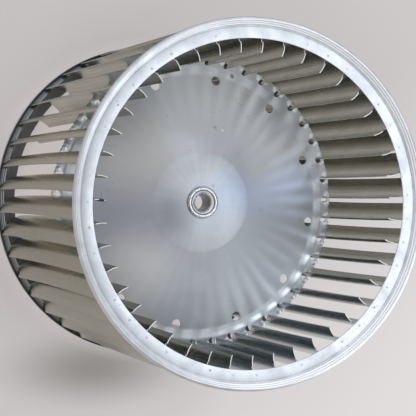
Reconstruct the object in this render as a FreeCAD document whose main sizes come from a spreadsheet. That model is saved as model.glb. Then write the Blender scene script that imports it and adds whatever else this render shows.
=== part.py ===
import FreeCAD, Part
import math
import os
import Sketcher

# Double-inlet blower wheel, standing on its rear ring: the axis is +Z, the rear rim crest is at z = 0
# and the front rim crest is at z = wheel_width. The first blade's inner edge lies on +X.
# Everything is in millimetres and degrees.

os.makedirs("parts", exist_ok=True)
doc = FreeCAD.newDocument("blower_wheel")

# Sizes

SIZES = [
    ("wheel_diameter", "270", "outside diameter over the rolled rims"),
    ("wheel_width", "270", "overall width, rim crest to rim crest"),
    ("blade_count", "43", "number of blades"),
    ("seat_gap", "0.1", "clearance between sheets that only touch"),
    ("ring_sheet", "0.8", "end ring sheet thickness"),
    ("band_width", "9.2", "width of the flat band of an end ring"),
    ("rim_slope", "2.4", "radial run of the rim's inner wall, band to crest"),
    ("rim_crest", "3.6", "radial width of the rim's flat crest"),
    ("rim_rise", "5.0", "height of the rim crest over the flat band"),
    ("rim_skirt", "3.8", "height of the rim's outer wall"),
    ("blade_sheet", "0.7", "blade sheet thickness"),
    ("blade_reach", "10.1", "how far a blade reaches inwards past the ring's opening"),
    ("blade_lead", "5.935", "angle by which a blade's outer edge leads its inner edge"),
    ("tip_drop", "2.8", "how far the free inner part of a blade stops below the band"),
    ("tip_step", "1.8", "distance from the ring's opening in to the step that ends the free part"),
    ("disc_inset", "1.3", "how far the disc's edge lies inside the ring's opening"),
    ("disc_sheet", "1.5", "centre disc sheet thickness"),
    ("disc_offset", "1.3", "how far the face of the disc's flat tabs lies behind the middle of the wheel"),
    ("slot_gap", "0.25", "clearance of a blade in its slot, each side"),
    ("tab_root", "0.6", "distance from the end of a slot to the foot of the disc's bevel"),
    ("bevel_run", "4.7", "radial width of the bevel"),
    ("bevel_rise", "2.3", "height of the bevel"),
    ("cone_rise", "12.7", "height of the disc's cone"),
    ("plateau_radius", "38.8", "radius of the raised flat centre of the disc"),
    ("plateau_run", "2.0", "radial width of the step round the raised centre"),
    ("plateau_rise", "3.1", "height of the step round the raised centre"),
    ("hole_count", "12", "number of tooling holes in the disc"),
    ("hole_diameter", "7.5", "diameter of a tooling hole"),
    ("hole_inset", "5.1", "distance from the bevel in to the middle of a tooling hole"),
    ("hole_turn", "21.9", "angle of the first tooling hole"),
    ("bore_diameter", "12.7", "shaft bore of the hub"),
    ("bore_bevel", "2.2", "bevel at the front end of the bore"),
    ("hub_length", "22", "overall length of the hub"),
    ("nose_wall", "4.55", "wall of the hub round its bore where it passes through the disc"),
    ("shoulder_width", "4.1", "how far the hub barrel is wider than the nose, each side"),
    ("flange_lip", "1.3", "how far the staked flange is wider than the nose, each side"),
    ("flange_thickness", "2.8", "thickness of the staked flange"),
    ("tooth_count", "16", "number of notches round the staked flange"),
    ("tooth_gap", "1.4", "width of a notch in the staked flange"),
    ("tooth_depth", "1.1", "depth of a notch in the staked flange"),
    ("screw_diameter", "7.9", "diameter of the set screw"),
    ("screw_length", "9", "length of the set screw"),
    ("screw_socket", "4", "width across flats of the set screw's socket"),
    ("screw_fit", "0.05", "clearance of the set screw in its hole"),
    ("screw_back", "0.3", "how far the set screw's point stays out of the bore"),
    ("clip_sheet", "0.5", "balance clip thickness"),
    ("clip_width", "3.2", "balance clip width along the radius"),
    ("clip_leg", "8", "length of the balance clip's legs"),
]


class Size:
    """A length or angle that knows its number and the expression that binds it to the sheet."""

    def __init__(self, number, text):
        self.number = number
        self.text = text

    def __add__(self, other):
        other = as_size(other)
        return Size(self.number + other.number, "(%s + %s)" % (self.text, other.text))

    def __sub__(self, other):
        other = as_size(other)
        return Size(self.number - other.number, "(%s - %s)" % (self.text, other.text))

    def __mul__(self, other):
        other = as_size(other)
        return Size(self.number * other.number, "(%s * %s)" % (self.text, other.text))

    def __truediv__(self, other):
        other = as_size(other)
        return Size(self.number / other.number, "(%s / %s)" % (self.text, other.text))

    def __neg__(self):
        return Size(-self.number, "(0 - %s)" % self.text)


def as_size(value):
    if isinstance(value, Size):
        return value
    return Size(float(value), repr(float(value)))


def root(value):
    return Size(math.sqrt(value.number), "sqrt(%s)" % value.text)


def cosine(angle):
    return Size(math.cos(math.radians(angle.number)), "cos(%s * 1deg)" % angle.text)


def sine(angle):
    return Size(math.sin(math.radians(angle.number)), "sin(%s * 1deg)" % angle.text)


def arc_tangent(rise, run):
    return Size(
        math.degrees(math.atan2(rise.number, run.number)),
        "(atan2(%s; %s) / 1deg)" % (rise.text, run.text),
    )


sheet = doc.addObject("Spreadsheet::Sheet", "sizes")
size = {}
for row, (alias, number, note) in enumerate(SIZES, start=1):
    sheet.set("A%d" % row, note)
    sheet.set("B%d" % row, number)
    sheet.setAlias("B%d" % row, alias)
    size[alias] = Size(float(number), "<<sizes>>." + alias)
doc.recompute()


def worked_out(alias, value, note):
    """Adds a length or angle that follows from the sizes to the sheet, under a name of its own."""
    row = 1
    while sheet.getContents("B%d" % row):
        row += 1
    sheet.set("A%d" % row, note)
    sheet.set("B%d" % row, "=" + value.text.replace("<<sizes>>.", ""))
    sheet.setAlias("B%d" % row, alias)
    return Size(value.number, "<<sizes>>." + alias)


half_wheel = size["wheel_diameter"] / 2
rim_foot = half_wheel - size["rim_crest"] - size["rim_slope"]
opening_radius = rim_foot - size["band_width"]
blade_inner = opening_radius - size["blade_reach"]
front_band = size["wheel_width"] - size["rim_rise"]
rear_band = size["rim_rise"]
gap = size["seat_gap"]


# Drawing helpers

def new_body(label):
    body = doc.addObject("PartDesign::Body", label)
    body.Label = label
    return body


def new_sketch(body, name, role, height=None):
    """A sketch on one of the body's own base planes, lifted along the plane's normal when asked."""
    drawing = body.newObject("Sketcher::SketchObject", name)
    base = [plane for plane in body.Origin.OriginFeatures if plane.Role == role][0]
    drawing.AttachmentSupport = [(base, "")]
    drawing.MapMode = "FlatFace"
    if height is not None:
        drawing.setExpression("AttachmentOffset.Base.z", height.text)
    return drawing


def pin(drawing, geometry, end, x, y):
    """Fixes one end of a piece of a drawing at the point (x, y)."""
    for kind, value in (("DistanceX", x), ("DistanceY", y)):
        number = drawing.addConstraint(Sketcher.Constraint(kind, -1, 1, geometry, end, value.number))
        drawing.setExpression("Constraints[%d]" % number, value.text)


def draw_polygon(drawing, points):
    """A closed outline of straight edges through points given as pairs of sizes."""
    points = [(as_size(x), as_size(y)) for x, y in points]
    edges = []
    for here, there in zip(points, points[1:] + points[:1]):
        start = FreeCAD.Vector(here[0].number, here[1].number, 0)
        finish = FreeCAD.Vector(there[0].number, there[1].number, 0)
        edges.append(drawing.addGeometry(Part.LineSegment(start, finish), False))
    for index, edge in enumerate(edges):
        following = edges[(index + 1) % len(edges)]
        drawing.addConstraint(Sketcher.Constraint("Coincident", edge, 2, following, 1))
    for edge, (x, y) in zip(edges, points):
        pin(drawing, edge, 1, x, y)


def draw_circle(drawing, x, y, radius):
    x, y, radius = as_size(x), as_size(y), as_size(radius)
    middle = FreeCAD.Vector(x.number, y.number, 0)
    circle = Part.Circle(middle, FreeCAD.Vector(0, 0, 1), radius.number)
    index = drawing.addGeometry(circle, False)
    number = drawing.addConstraint(Sketcher.Constraint("Radius", index, radius.number))
    drawing.setExpression("Constraints[%d]" % number, radius.text)
    pin(drawing, index, 3, x, y)


def revolve(body, name, drawing):
    feature = body.newObject("PartDesign::Revolution", name)
    feature.Profile = drawing
    feature.ReferenceAxis = (drawing, ["V_Axis"])
    feature.Angle = 360
    drawing.Visibility = False
    body.Tip = feature
    return feature


def pad(body, name, drawing, length):
    feature = body.newObject("PartDesign::Pad", name)
    feature.Profile = drawing
    feature.setExpression("Length", length.text)
    drawing.Visibility = False
    body.Tip = feature
    return feature


def cut_through(body, name, drawing):
    """A cut along the drawing's normal, right through the body on both sides."""
    feature = body.newObject("PartDesign::Pocket", name)
    feature.Profile = drawing
    feature.Type = 1
    feature.Midplane = True
    drawing.Visibility = False
    body.Tip = feature
    return feature


def cut_depth(body, name, drawing, depth):
    feature = body.newObject("PartDesign::Pocket", name)
    feature.Profile = drawing
    feature.setExpression("Length", depth.text)
    drawing.Visibility = False
    body.Tip = feature
    return feature


def repeat_round(body, name, feature, drawing, count):
    """Repeats a cut evenly round the axis of the drawing's plane."""
    pattern = body.newObject("PartDesign::PolarPattern", name)
    pattern.Originals = [feature]
    pattern.Axis = (drawing, ["N_Axis"])
    pattern.Angle = 360
    pattern.setExpression("Occurrences", count.text)
    body.Tip = pattern
    return pattern


# End rings: a flat band, a sloping wall, a rolled crest and an outer wall, open towards the blades.
# The roll is filled at its outer corner.

def build_ring(label, front):
    body = new_body(label)
    thickness = size["ring_sheet"]
    run = size["rim_slope"]
    crest = size["rim_rise"]
    wall_top = rim_foot + run
    skirt_end = crest - size["rim_skirt"]
    shift = thickness * (root(run * run + crest * crest) - run) / crest
    section = [
        (opening_radius, as_size(0)),
        (rim_foot, as_size(0)),
        (wall_top, crest),
        (half_wheel, crest),
        (half_wheel, skirt_end),
        (half_wheel - thickness, skirt_end),
        (wall_top + shift, crest - thickness),
        (rim_foot + shift, -thickness),
        (opening_radius, -thickness),
    ]
    drawing = new_sketch(body, label + "_section", "XZ_Plane")
    points = []
    for radius, rise in section:
        height = front_band + rise if front else rear_band - rise
        points.append((radius, height))
    draw_polygon(drawing, points)
    revolve(body, label + "_turned", drawing)
    return body


# Blades: one bent strip, both ends stepped to clear the opening and to seat under the band and the rim.
# The bend crosses one radius twice, at its inner edge and at the opening, and is drawn as equal flats.

FLATS = 5

half_chord = size["blade_reach"] / 2
outer_edge = half_wheel - size["ring_sheet"] - gap - size["blade_sheet"] / 2
outer_x = worked_out("outer_x", outer_edge * cosine(size["blade_lead"]), "the blade's outer edge, along")
outer_y = worked_out("outer_y", outer_edge * sine(size["blade_lead"]), "the blade's outer edge, across")
centre_x = worked_out("bend_x", blade_inner + half_chord, "the bend's centre, along")
outer_run = outer_x - centre_x
centre_y = worked_out(
    "bend_y",
    (outer_run * outer_run + outer_y * outer_y - half_chord * half_chord) / (outer_y * 2),
    "the bend's centre, across",
)
bend = worked_out("bend_radius", root(half_chord * half_chord + centre_y * centre_y), "radius of the bend")
first_turn = worked_out("bend_first", arc_tangent(-centre_y, -half_chord), "angle of the inner edge")
last_turn = worked_out("bend_last", arc_tangent(outer_y - centre_y, outer_run), "angle of the outer edge")
sides = [
    worked_out("bend_inside", bend - size["blade_sheet"] / 2, "radius of the bend's inner side"),
    worked_out("bend_outside", bend + size["blade_sheet"] / 2, "radius of the bend's outer side"),
]
corners = [[], []]
for step in range(FLATS + 1):
    turn = first_turn + (last_turn - first_turn) * step / FLATS
    turn = worked_out("bend_turn_%d" % step, turn, "angle of a corner of the bend")
    for side, radius in zip(corners, sides):
        side.append((centre_x + radius * cosine(turn), centre_y + radius * sine(turn)))


def build_blade(label, index):
    body = new_body(label)
    seat_drop = size["ring_sheet"] + gap
    foot = rear_band + seat_drop
    top = front_band - seat_drop
    section = new_sketch(body, label + "_section", "XY_Plane", foot)
    draw_polygon(section, corners[0] + corners[1][::-1])
    pad(body, label + "_strip", section, top - foot)
    steps = new_sketch(body, label + "_ends", "XZ_Plane")
    beyond = blade_inner - bend
    step_radius = opening_radius - size["tip_step"]
    for end, cut_end in (
        (front_band, front_band - size["tip_drop"]),
        (rear_band, rear_band + size["tip_drop"]),
    ):
        draw_polygon(steps, [(beyond, end), (beyond, cut_end), (step_radius, cut_end), (step_radius, end)])
    cut_through(body, label + "_stepped", steps)
    turn = as_size(360) / size["blade_count"] * index
    body.setExpression("Placement.Rotation.Angle", "%s * 1deg" % turn.text)
    return body


# Centre disc: flat tabs between the slots, a bevel, a long cone and a raised flat centre for the hub

disc_edge = opening_radius - size["disc_inset"]
level = size["wheel_width"] / 2 - size["disc_offset"]
slot_start = blade_inner - size["slot_gap"] * 2
bevel_foot = slot_start - size["tab_root"]
bevel_top = bevel_foot - size["bevel_run"]
cone_top = size["plateau_radius"] + size["plateau_run"]
ridge = level + size["bevel_rise"] + size["cone_rise"]
bore = size["bore_diameter"] / 2
nose = bore + size["nose_wall"]
seat = worked_out("seat_height", ridge + size["plateau_rise"], "height of the disc's face under the flange")


def build_disc(label):
    body = new_body(label)
    nose_hole = nose + gap / 2
    face = [
        (disc_edge, level),
        (bevel_foot, level),
        (bevel_top, level + size["bevel_rise"]),
        (cone_top, ridge),
        (size["plateau_radius"], seat),
        (nose_hole, seat),
    ]
    back = [(radius, height - size["disc_sheet"]) for radius, height in reversed(face)]
    drawing = new_sketch(body, label + "_section", "XZ_Plane")
    draw_polygon(drawing, face + back)
    revolve(body, label + "_pressed", drawing)

    # the slot for one blade has straight sides that leave room for the bend, and is open at the edge
    near = centre_y - bend - size["blade_sheet"] / 2 - size["slot_gap"]
    far = size["blade_sheet"] / 2 + size["slot_gap"]
    beyond = disc_edge + half_chord
    slot = new_sketch(body, label + "_slot_outline", "XY_Plane")
    draw_polygon(slot, [(slot_start, near), (beyond, near), (beyond, far), (slot_start, far)])
    slot_cut = cut_through(body, label + "_slot", slot)
    repeat_round(body, label + "_slots", slot_cut, slot, size["blade_count"])

    holes = new_sketch(body, label + "_hole_outline", "XY_Plane")
    turn = size["hole_turn"]
    circle = bevel_top - size["hole_inset"]
    draw_circle(holes, circle * cosine(turn), circle * sine(turn), size["hole_diameter"] / 2)
    hole = cut_through(body, label + "_hole", holes)
    repeat_round(body, label + "_holes", hole, holes, size["hole_count"])
    return body


# Hub: a barrel behind the disc, a nose through it and a notched flange staked over its front face

hub_top = worked_out("hub_top", seat + size["flange_thickness"], "height of the hub's front end")
hub_foot = worked_out("hub_foot", hub_top - size["hub_length"], "height of the hub's rear end")
shoulder = seat - size["disc_sheet"]
screw_level = worked_out("screw_level", (hub_foot + shoulder) / 2, "height of the set screw")


def build_hub(label):
    body = new_body(label)
    barrel = nose + size["shoulder_width"]
    flange = nose + size["flange_lip"]
    bevel = size["bore_bevel"]
    outline = [
        (bore, hub_foot),
        (barrel, hub_foot),
        (barrel, shoulder),
        (nose, shoulder),
        (nose, seat),
        (flange, seat),
        (flange, hub_top),
        (bore + bevel, hub_top),
        (bore, hub_top - bevel),
    ]
    drawing = new_sketch(body, label + "_section", "XZ_Plane")
    draw_polygon(drawing, outline)
    revolve(body, label + "_turned", drawing)

    tooth = new_sketch(body, label + "_notch_outline", "XY_Plane", hub_top)
    inner = flange - size["tooth_depth"]
    outer = flange + size["tooth_depth"]
    half = size["tooth_gap"] / 2
    draw_polygon(tooth, [(inner, -half), (outer, -half), (outer, half), (inner, half)])
    notch = cut_depth(body, label + "_notch", tooth, size["flange_thickness"])
    repeat_round(body, label + "_notches", notch, tooth, size["tooth_count"])

    tapped = new_sketch(body, label + "_screw_outline", "YZ_Plane")
    draw_circle(tapped, 0, screw_level, size["screw_diameter"] / 2 + size["screw_fit"])
    tap = cut_depth(body, label + "_screw_hole", tapped, barrel * 2)
    tap.Reversed = True
    return body


def build_screw(label):
    body = new_body(label)
    point = bore + size["screw_back"]
    section = new_sketch(body, label + "_section", "XY_Plane", point)
    draw_circle(section, 0, 0, size["screw_diameter"] / 2)
    pad(body, label + "_rod", section, size["screw_length"])
    socket = new_sketch(body, label + "_socket_outline", "XY_Plane", point + size["screw_length"])
    corner = size["screw_socket"] / root(as_size(3))
    turns = [as_size(60 * step) for step in range(6)]
    draw_polygon(socket, [(corner * cosine(turn), corner * sine(turn)) for turn in turns])
    cut_depth(body, label + "_socket", socket, size["screw_length"] / 2)
    body.Placement = FreeCAD.Placement(FreeCAD.Vector(), FreeCAD.Rotation(FreeCAD.Vector(0, 1, 0), 90))
    body.setExpression("Placement.Base.z", screw_level.text)
    return body


# Balance clip: a small spring clip pushed over the free end of the first blade, on its innermost flat

def build_clip(label):
    body = new_body(label)
    inside = size["blade_sheet"] / 2 + gap / 2
    outside = inside + size["clip_sheet"]
    height = front_band - size["tip_drop"] + gap / 2
    roof = height + size["clip_sheet"]
    foot = height - size["clip_leg"]
    drawing = new_sketch(body, label + "_section", "YZ_Plane", -size["clip_width"] / 2)
    outline = [
        (-outside, foot),
        (-outside, roof),
        (outside, roof),
        (outside, foot),
        (inside, foot),
        (inside, height),
        (-inside, height),
        (-inside, foot),
    ]
    draw_polygon(drawing, outline)
    pad(body, label + "_bent", drawing, size["clip_width"])
    ends = corners[0][:2] + corners[1][:2]
    along = (ends[0][0] + ends[1][0] + ends[2][0] + ends[3][0]) / 4
    across = (ends[0][1] + ends[1][1] + ends[2][1] + ends[3][1]) / 4
    tilt = first_turn + (last_turn - first_turn) / (2 * FLATS) + 90
    body.setExpression("Placement.Base.x", along.text)
    body.setExpression("Placement.Base.y", across.text)
    body.setExpression("Placement.Rotation.Angle", "%s * 1deg" % tilt.text)
    return body


# Build everything

bodies = [build_ring("front_ring", True), build_ring("rear_ring", False)]
bodies.append(build_disc("centre_disc"))
bodies.append(build_hub("hub"))
bodies.append(build_screw("set_screw"))
bodies.append(build_clip("balance_clip"))
for index in range(int(size["blade_count"].number)):
    bodies.append(build_blade("blade_%02d" % (index + 1), index))
doc.recompute()

# Refuse to write anything that did not build

for item in doc.Objects:
    if "Invalid" in item.State or "Error" in item.State:
        raise RuntimeError("%s did not build: %s" % (item.Name, item.State))
for body in bodies:
    shape = body.Shape
    if shape.isNull() or not shape.isValid() or len(shape.Solids) != 1:
        raise RuntimeError("%s has no single valid solid" % body.Label)

for body in bodies:
    body.Shape.exportStep("parts/%s.step" % body.Label)
    box = body.Shape.BoundBox
    if not body.Label.startswith("blade_") or body.Label == "blade_01":
        print("%-13s volume %9.0f  x %7.2f %7.2f  y %7.2f %7.2f  z %7.2f %7.2f" % (
            body.Label, body.Shape.Volume, box.XMin, box.XMax, box.YMin, box.YMax, box.ZMin, box.ZMax))
print(len(bodies), "parts written")
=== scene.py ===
# %% [markdown]
# The blower wheel from a workshop bench: two pressed end rings, 43 bent blades, a dished centre disc and
# a steel hub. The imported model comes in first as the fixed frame, and everything built here has to fit
# it, in metres, with the wheel's axis on +Z and its rear ring on the floor.

# %% Load the frame
import bpy
import bmesh
import math
from mathutils import Matrix, Vector


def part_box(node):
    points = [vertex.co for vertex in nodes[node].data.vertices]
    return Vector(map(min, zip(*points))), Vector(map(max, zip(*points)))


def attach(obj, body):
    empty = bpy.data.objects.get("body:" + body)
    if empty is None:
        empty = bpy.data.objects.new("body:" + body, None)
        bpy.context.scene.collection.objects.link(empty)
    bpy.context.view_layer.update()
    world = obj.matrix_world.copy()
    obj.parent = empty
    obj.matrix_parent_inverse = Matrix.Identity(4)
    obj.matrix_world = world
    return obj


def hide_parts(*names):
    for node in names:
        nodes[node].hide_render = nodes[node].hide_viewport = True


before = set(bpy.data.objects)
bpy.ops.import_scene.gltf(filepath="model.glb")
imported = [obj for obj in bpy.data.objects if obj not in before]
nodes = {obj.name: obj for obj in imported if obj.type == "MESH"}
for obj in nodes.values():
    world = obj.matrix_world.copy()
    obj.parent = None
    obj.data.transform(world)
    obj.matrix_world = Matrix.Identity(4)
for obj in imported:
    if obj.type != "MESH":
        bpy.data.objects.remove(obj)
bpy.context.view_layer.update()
BLADES = sorted(name for name in nodes if name.startswith("blade_"))
COUNT = len(BLADES)
PITCH = 2 * math.pi / COUNT
MM = 0.001
scene = bpy.context.scene

# %% [markdown]
# The camera comes before any shape, so each piece can be judged in the picture's own frame. Its place
# was worked out from the ring edges, the blade tips and the hub: almost on the wheel's axis, a little to
# one side, with a long lens. A long lens keeps the far ring nearly as large as the near one.

# %% Camera
CAMERA_AT = Vector((0.3887877, -0.0048955, 1.2701898))
CAMERA_TURN = Matrix((
    (-0.94296251, 0.0228327, 0.332115),
    (-0.0269518, -0.9996063, -0.00780099),
    (0.33180613, -0.01630714, 0.94320664),
))
LENS = 129.205
SENSOR_WIDTH = 36

camera_data = bpy.data.cameras.new("camera")
camera_data.lens = LENS
camera_data.sensor_width = SENSOR_WIDTH
camera = bpy.data.objects.new("camera", camera_data)
camera.matrix_world = Matrix.Translation(CAMERA_AT) @ CAMERA_TURN.to_4x4()
scene.collection.objects.link(camera)
scene.camera = camera
scene.view_settings.view_transform = "Standard"
print("camera", [round(value, 3) for value in camera.location], "lens", LENS)

# %% [markdown]
# Node trees are easier to read when short helpers add a node, set its values and make its links. The same
# helpers serve geometry trees and materials, because both are trees of nodes and sockets. Sums are built
# from them too, so a mask reads as one line of arithmetic.

# %% Tree helpers
def feed(tree, inputs, values):
    """Sets inputs, by name or number, to plain values, or links them to other sockets."""
    for name, value in values.items():
        if isinstance(value, bpy.types.NodeSocket):
            tree.links.new(value, inputs[name])
        else:
            inputs[name].default_value = value


def add(tree, kind, links=None, **settings):
    """Adds a node, sets its properties and feeds its inputs."""
    node = tree.nodes.new(kind)
    for name, value in settings.items():
        setattr(node, name, value)
    feed(tree, node.inputs, links or {})
    return node


def maths(tree, operation, first, second=0.0):
    """One sum on numbers or sockets, returned as a socket."""
    return add(tree, "ShaderNodeMath", {0: first, 1: second}, operation=operation).outputs[0]


def times(tree, *factors):
    """The product of two or more numbers or sockets."""
    product = factors[0]
    for factor in factors[1:]:
        product = maths(tree, "MULTIPLY", product, factor)
    return product


def xyz(tree, vector):
    """The three parts of a vector."""
    return add(tree, "ShaderNodeSeparateXYZ", {0: vector}).outputs


def new_group(name, kind, inputs, outputs):
    """A tree with named inputs and outputs. Each is a pair or triple: name, socket type, default."""
    tree = bpy.data.node_groups.new(name, kind)
    for title, socket, *default in inputs:
        made = tree.interface.new_socket(name=title, in_out="INPUT", socket_type=socket)
        if default:
            made.default_value = default[0]
    for title, socket in outputs:
        tree.interface.new_socket(name=title, in_out="OUTPUT", socket_type=socket)
    return tree, add(tree, "NodeGroupInput"), add(tree, "NodeGroupOutput")


def evaluate(name, mesh, tree, values):
    """Runs a geometry tree on a mesh and returns a new object that holds the plain result."""
    source = bpy.data.objects.new(name + ".source", mesh)
    scene.collection.objects.link(source)
    modifier = source.modifiers.new("build", "NODES")
    modifier.node_group = tree
    sockets = {item.name: item.identifier for item in tree.interface.items_tree if item.in_out == "INPUT"}
    for title, value in values.items():
        modifier[sockets[title]] = value
    graph = bpy.context.evaluated_depsgraph_get()
    result = bpy.data.meshes.new_from_object(source.evaluated_get(graph))
    result.name = name
    bpy.data.objects.remove(source)
    piece = bpy.data.objects.new(name, result)
    scene.collection.objects.link(piece)
    return piece


def triangles(piece):
    return sum(len(polygon.vertices) - 2 for polygon in piece.data.polygons)


print("tree helpers", [helper.__name__ for helper in (feed, add, maths, times, xyz, new_group, evaluate)])

# %% [markdown]
# Turned and spun sheet parts have one section, swept round the axis. The tree below takes the section
# as a line of points, lays out a grid with one column for each step round the axis, and moves each grid
# point to its place. The Screw modifier would do it too, but here the number of steps is an input, and the
# seam is welded in the same tree.

# %% A tree that spins a section
SEAM_WELD = 1e-6
FLAT_TURN = math.radians(28)
CORNER_SHARE = 0.45
SHARP_TURN = 40


def build_spin_tree():
    tree, given, made = new_group("spin_a_section", "GeometryNodeTree", [
        ("Geometry", "NodeSocketGeometry"),
        ("Steps", "NodeSocketInt", 256),
        ("Material", "NodeSocketMaterial"),
    ], [("Geometry", "NodeSocketGeometry")])
    size = add(tree, "GeometryNodeAttributeDomainSize", {"Geometry": given.outputs["Geometry"]})
    points = size.outputs["Point Count"]
    columns = maths(tree, "ADD", given.outputs["Steps"], 1.0)
    grid = add(tree, "GeometryNodeMeshGrid", {"Vertices X": columns, "Vertices Y": points})
    index = add(tree, "GeometryNodeInputIndex").outputs[0]
    row = maths(tree, "FLOORED_MODULO", index, points)
    column = maths(tree, "FLOOR", maths(tree, "DIVIDE", maths(tree, "ADD", index, 0.5), points))
    place = add(tree, "GeometryNodeInputPosition").outputs[0]
    sample = add(tree, "GeometryNodeSampleIndex", {
        "Geometry": given.outputs["Geometry"], "Value": place, "Index": row,
    }, data_type="FLOAT_VECTOR")
    turn = maths(tree, "DIVIDE", times(tree, column, 2 * math.pi), given.outputs["Steps"])
    spun = add(tree, "ShaderNodeVectorRotate", {
        "Vector": sample.outputs[0], "Center": (0, 0, 0), "Angle": turn,
    }, rotation_type="Z_AXIS")
    moved = add(tree, "GeometryNodeSetPosition", {
        "Geometry": grid.outputs["Mesh"], "Position": spun.outputs[0],
    })
    welded = add(tree, "GeometryNodeMergeByDistance", {"Geometry": moved.outputs[0], "Distance": SEAM_WELD})
    whole = add(tree, "GeometryNodeRealizeInstances", {"Geometry": welded.outputs[0]})
    coated = add(tree, "GeometryNodeSetMaterial", {
        "Geometry": whole.outputs[0], "Material": given.outputs["Material"],
    })
    tree.links.new(coated.outputs[0], made.inputs["Geometry"])
    return tree


spin_tree = build_spin_tree()
print("spin tree nodes", len(spin_tree.nodes))


def rounded(points, radius, steps=3):
    """Rounds the sharp corners of a closed section, given as pairs of millimetres, by short arcs."""
    result = []
    count = len(points)
    for index in range(count):
        before, here, after = (Vector(points[(index + step) % count]) for step in (-1, 0, 1))
        if (here - before).angle(after - here) < FLAT_TURN:
            result.append(here)
            continue
        reach = min(radius, (before - here).length * CORNER_SHARE, (after - here).length * CORNER_SHARE)
        start = here + (before - here).normalized() * reach
        end = here + (after - here).normalized() * reach
        for step in range(steps + 1):
            share = step / steps
            result.append(start.lerp(here, share).lerp(here.lerp(end, share), share))
    return result


def section_mesh(name, points):
    """A closed section of millimetre pairs (radius, height) as a line of points in metres."""
    mesh = bpy.data.meshes.new(name)
    ring = [(x * MM, 0, z * MM) for x, z in points]
    ring.append(ring[0])
    mesh.from_pydata(ring, [(i, i + 1) for i in range(len(ring) - 1)], [])
    return mesh


def face_outwards(piece):
    """Makes every face point out of the solid."""
    work = bmesh.new()
    work.from_mesh(piece.data)
    bmesh.ops.recalc_face_normals(work, faces=work.faces)
    if work.calc_volume(signed=True) < 0:
        bmesh.ops.reverse_faces(work, faces=work.faces)
    work.to_mesh(piece.data)
    work.free()


def smooth(piece, degrees):
    """Smooth shading that stays sharp where faces meet at more than this angle."""
    piece.data.shade_smooth()
    piece.data.set_sharp_from_angle(angle=math.radians(degrees))


def spin(name, points, material, steps):
    """A closed section turned round the axis into a piece."""
    piece = evaluate(name, section_mesh(name + ".section", points), spin_tree, {
        "Steps": steps, "Material": material,
    })
    face_outwards(piece)
    smooth(piece, SHARP_TURN)
    print(name, "triangles", triangles(piece))
    return piece


# %% [markdown]
# Bare steel sheet is never one colour. Galvanised or bright-rolled sheet carries a fine grain, cloudy
# patches where the coating is thinner, and small dark specks. Each effect is one shader group, built
# once, that gives out only masks and heights, so every material can mix them in its own strength.

# %% Shader group: sheet grain
SPECK_SPACING = 0.16
SPECK_SIZE = 0.13
SPECK_CLOUD = 0.56


def build_grain_group():
    tree, given, made = new_group("sheet_grain", "ShaderNodeTree", [
        ("Position", "NodeSocketVector"),
        ("Fine", "NodeSocketFloat", 900.0),
        ("Cloud", "NodeSocketFloat", 40.0),
    ], [("Grain", "NodeSocketFloat"), ("Clouds", "NodeSocketFloat"), ("Specks", "NodeSocketFloat")])
    place = add(tree, "ShaderNodeMapping", {
        "Vector": given.outputs["Position"], "Rotation": (0.61, 0.43, 0.87),
    }).outputs[0]
    grain = add(tree, "ShaderNodeTexNoise", {
        "Vector": place, "Scale": given.outputs["Fine"], "Detail": 3.0, "Roughness": 0.6,
    }).outputs["Fac"]
    clouds = add(tree, "ShaderNodeTexNoise", {
        "Vector": place, "Scale": given.outputs["Cloud"], "Detail": 4.0, "Roughness": 0.55,
        "Distortion": 0.6,
    }).outputs["Fac"]
    cells = add(tree, "ShaderNodeTexVoronoi", {
        "Vector": place, "Scale": times(tree, given.outputs["Fine"], SPECK_SPACING),
    }).outputs["Distance"]
    dots = maths(tree, "LESS_THAN", cells, SPECK_SIZE)
    keep = maths(tree, "GREATER_THAN", clouds, SPECK_CLOUD)
    specks = times(tree, dots, keep)
    feed(tree, made.inputs, {"Grain": grain, "Clouds": clouds, "Specks": specks})
    return tree


grain_group = build_grain_group()
print("grain group nodes", len(grain_group.nodes))

# %% [markdown]
# A spun or rolled part keeps lines that run round its axis. The second group turns the position into
# a distance from the axis and an angle round it, and stretches noise along the angle. It also gives the
# place within one blade pitch, which the punch marks, the disc's flutes and its bright land follow.

# %% Shader group: round the axis
LINES_ROUND = 2.2
FAN_ROUND = 9.0
FAN_OUT = 4.0


def build_polar_group():
    tree, given, made = new_group("round_the_axis", "ShaderNodeTree", [
        ("Position", "NodeSocketVector"),
        ("Lines", "NodeSocketFloat", 1500.0),
        ("Shift", "NodeSocketFloat", 0.0),
    ], [
        ("Radius", "NodeSocketFloat"), ("Brushed", "NodeSocketFloat"),
        ("Pitch", "NodeSocketFloat"), ("Radial", "NodeSocketFloat"),
    ])
    x, y = xyz(tree, given.outputs["Position"])[:2]
    radius = maths(tree, "SQRT", maths(tree, "ADD", times(tree, x, x), times(tree, y, y)))
    angle = maths(tree, "ARCTAN2", y, x)
    polar = add(tree, "ShaderNodeCombineXYZ", {
        0: times(tree, radius, given.outputs["Lines"]),
        1: times(tree, maths(tree, "COSINE", angle), LINES_ROUND),
        2: times(tree, maths(tree, "SINE", angle), LINES_ROUND),
    }).outputs[0]
    brushed = add(tree, "ShaderNodeTexNoise", {
        "Vector": polar, "Scale": 1.0, "Detail": 2.0, "Roughness": 0.5,
    }).outputs["Fac"]
    fan = add(tree, "ShaderNodeCombineXYZ", {
        0: times(tree, maths(tree, "COSINE", angle), FAN_ROUND),
        1: times(tree, maths(tree, "SINE", angle), FAN_ROUND),
        2: times(tree, radius, FAN_OUT),
    }).outputs[0]
    radial = add(tree, "ShaderNodeTexNoise", {
        "Vector": fan, "Scale": 1.0, "Detail": 2.5, "Roughness": 0.5,
    }).outputs["Fac"]
    turns = maths(tree, "ADD", maths(tree, "DIVIDE", angle, PITCH), given.outputs["Shift"])
    pitch = maths(tree, "FRACT", maths(tree, "ADD", turns, float(COUNT)))
    feed(tree, made.inputs, {"Radius": radius, "Brushed": brushed, "Pitch": pitch, "Radial": radial})
    return tree


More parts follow.
